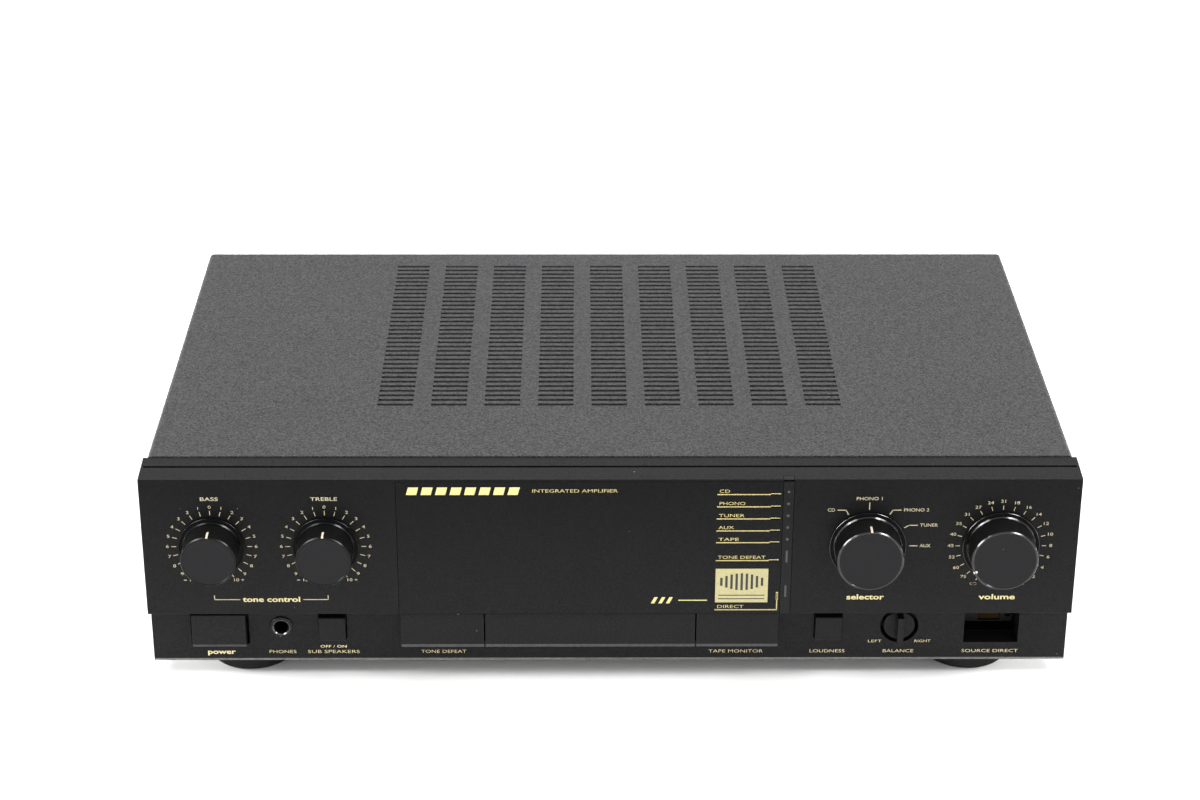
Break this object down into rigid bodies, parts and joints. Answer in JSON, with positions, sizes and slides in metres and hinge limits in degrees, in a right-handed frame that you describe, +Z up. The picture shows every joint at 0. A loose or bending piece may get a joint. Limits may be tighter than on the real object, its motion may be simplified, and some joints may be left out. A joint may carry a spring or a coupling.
{
  "type": "integrated amplifier",
  "caption": "Low hi-fi amplifier with a slotted steel cover, stepped front panel, turning knobs, push buttons, headphone socket and rear screw terminals.",
  "frame": {"origin": "on the shelf plane, under the middle of the object's box", "axes": "+X to the right seen from the front, -Y out of the front panel, +Z up"},
  "size_m": [0.42, 0.2824, 0.1085],
  "materials": {
    "cover_paint": "fine textured paint",
    "panel_paint": "satin paint",
    "zinc_steel": "zinc plated sheet",
    "fascia_black": "satin, finely textured",
    "window_black": "fine vertical grain, satin",
    "strip_smoke": "smoked, glossy",
    "key_black": "satin",
    "knob_black": "satin face, glossy side",
    "foot_black": "matte",
    "screw_black": "black oxide",
    "socket_black": "moulded",
    "pot_case": "plain",
    "nut_nickel": "nickel plated",
    "switch_black": "moulded",
    "board_brown": "paper laminate",
    "lamp_amber": "tinted",
    "core_steel": "varnished laminations",
    "winding_tape": "tape",
    "sink_black": "black anodised",
    "resin_black": "moulded resin",
    "can_sleeve": "shrink sleeve",
    "relay_case": "clear cover",
    "fuse_glass": "clear",
    "jack_nickel": "nickel plated",
    "post_brass": "plain",
    "cable_pvc": "soft sleeve",
    "shaft_alloy": "turned",
    "cap_red": "moulded",
    "cap_black": "moulded"
  },
  "bodies": {
    "chassis": {"chassis_base": "zinc_steel", "top_cover": "cover_paint", "rear_panel": "panel_paint", "front_subframe": "panel_paint", "upper_fascia": "fascia_black", "lower_fascia": "fascia_black", "display_window": "window_black", "indicator_strip": "strip_smoke", "centre_trim": "key_black", "feet": "foot_black", "case_screws": "screw_black", "phones_socket": "socket_black", "tone_pots": "pot_case", "volume_pot": "pot_case", "selector_switch": "pot_case", "balance_pot": "pot_case", "bush_nuts": "nut_nickel", "power_switch": "switch_black", "push_switches": "switch_black", "control_boards": "board_brown", "indicator_lamps": "lamp_amber", "main_board": "board_brown", "transformer_core": "core_steel", "transformer_windings": "winding_tape", "heat_sink": "sink_black", "output_transistors": "resin_black", "filter_capacitors": "can_sleeve", "bridge_rectifier": "resin_black", "speaker_relay": "relay_case", "mains_fuse": "fuse_glass", "input_board": "board_brown", "phono_jacks": "jack_nickel", "speaker_terminal_block": "socket_black", "speaker_posts": "post_brass", "mains_inlet": "socket_black", "wiring": "cable_pvc"},
    "bass_control": {"bass_knob": "knob_black", "bass_shaft": "shaft_alloy"},
    "treble_control": {"treble_knob": "knob_black", "treble_shaft": "shaft_alloy"},
    "selector_control": {"selector_knob": "knob_black", "selector_shaft": "shaft_alloy"},
    "volume_control": {"volume_knob": "knob_black", "volume_shaft": "shaft_alloy"},
    "balance_control": {"balance_knob": "key_black", "balance_shaft": "shaft_alloy"},
    "power_key": {"power_button": "key_black"},
    "sub_speakers_key": {"sub_speakers_button": "key_black"},
    "tone_defeat_key": {"tone_defeat_button": "key_black"},
    "tape_monitor_key": {"tape_monitor_button": "key_black"},
    "loudness_key": {"loudness_button": "key_black"},
    "direct_key": {"direct_plunger": "switch_black"},
    "main_terminal_1": {"main_cap_1": "cap_red"},
    "main_terminal_2": {"main_cap_2": "cap_black"},
    "main_terminal_3": {"main_cap_3": "cap_black"},
    "main_terminal_4": {"main_cap_4": "cap_red"},
    "sub_terminal_1": {"sub_cap_1": "cap_red"},
    "sub_terminal_2": {"sub_cap_2": "cap_black"},
    "sub_terminal_3": {"sub_cap_3": "cap_black"},
    "sub_terminal_4": {"sub_cap_4": "cap_red"}
  },
  "joints": [
    {"name": "bass_turn", "type": "hinge", "parent": "chassis", "child": "bass_control", "pos_m": [-0.1789, -0.1337, 0.0729], "axis": [0, 1, 0], "range_deg": [-150, 150]},
    {"name": "treble_turn", "type": "hinge", "parent": "chassis", "child": "treble_control", "pos_m": [-0.1278, -0.1337, 0.0729], "axis": [0, 1, 0], "range_deg": [-150, 150]},
    {"name": "selector_turn", "type": "hinge", "parent": "chassis", "child": "selector_control", "pos_m": [0.1155, -0.1337, 0.0729], "axis": [0, 1, 0], "range_deg": [-30, 90]},
    {"name": "volume_turn", "type": "hinge", "parent": "chassis", "child": "volume_control", "pos_m": [0.1754, -0.1337, 0.0729], "axis": [0, 1, 0], "range_deg": [-36, 264]},
    {"name": "balance_turn", "type": "hinge", "parent": "chassis", "child": "balance_control", "pos_m": [0.133, -0.1337, 0.0265], "axis": [0, 1, 0], "range_deg": [-140, 140]},
    {"name": "power_push", "type": "slide", "parent": "chassis", "child": "power_key", "axis": [0, 1, 0], "range_m": [0, 0.004], "stiffness_N_per_m": 200, "springref_m": -0.002},
    {"name": "sub_speakers_push", "type": "slide", "parent": "chassis", "child": "sub_speakers_key", "axis": [0, 1, 0], "range_m": [0, 0.003], "stiffness_N_per_m": 200, "springref_m": -0.002},
    {"name": "tone_defeat_push", "type": "slide", "parent": "chassis", "child": "tone_defeat_key", "axis": [0, 1, 0], "range_m": [0, 0.003], "stiffness_N_per_m": 200, "springref_m": -0.002},
    {"name": "tape_monitor_push", "type": "slide", "parent": "chassis", "child": "tape_monitor_key", "axis": [0, 1, 0], "range_m": [0, 0.003], "stiffness_N_per_m": 200, "springref_m": -0.002},
    {"name": "loudness_push", "type": "slide", "parent": "chassis", "child": "loudness_key", "axis": [0, 1, 0], "range_m": [0, 0.003], "stiffness_N_per_m": 200, "springref_m": -0.002},
    {"name": "direct_push", "type": "slide", "parent": "chassis", "child": "direct_key", "axis": [0, 1, 0], "range_m": [0, 0.003], "stiffness_N_per_m": 200, "springref_m": -0.002},
    {"name": "main_cap_1_turn", "type": "hinge", "parent": "chassis", "child": "main_terminal_1", "pos_m": [-0.1, 0.1353, 0.068], "axis": [0, 1, 0], "range_deg": [0, 720]},
    {"name": "main_cap_2_turn", "type": "hinge", "parent": "chassis", "child": "main_terminal_2", "pos_m": [-0.074, 0.1353, 0.068], "axis": [0, 1, 0], "range_deg": [0, 720]},
    {"name": "main_cap_3_turn", "type": "hinge", "parent": "chassis", "child": "main_terminal_3", "pos_m": [-0.048, 0.1353, 0.068], "axis": [0, 1, 0], "range_deg": [0, 720]},
    {"name": "main_cap_4_turn", "type": "hinge", "parent": "chassis", "child": "main_terminal_4", "pos_m": [-0.022, 0.1353, 0.068], "axis": [0, 1, 0], "range_deg": [0, 720]},
    {"name": "sub_cap_1_turn", "type": "hinge", "parent": "chassis", "child": "sub_terminal_1", "pos_m": [-0.1, 0.1353, 0.042], "axis": [0, 1, 0], "range_deg": [0, 720]},
    {"name": "sub_cap_2_turn", "type": "hinge", "parent": "chassis", "child": "sub_terminal_2", "pos_m": [-0.074, 0.1353, 0.042], "axis": [0, 1, 0], "range_deg": [0, 720]},
    {"name": "sub_cap_3_turn", "type": "hinge", "parent": "chassis", "child": "sub_terminal_3", "pos_m": [-0.048, 0.1353, 0.042], "axis": [0, 1, 0], "range_deg": [0, 720]},
    {"name": "sub_cap_4_turn", "type": "hinge", "parent": "chassis", "child": "sub_terminal_4", "pos_m": [-0.022, 0.1353, 0.042], "axis": [0, 1, 0], "range_deg": [0, 720]}
  ]
}
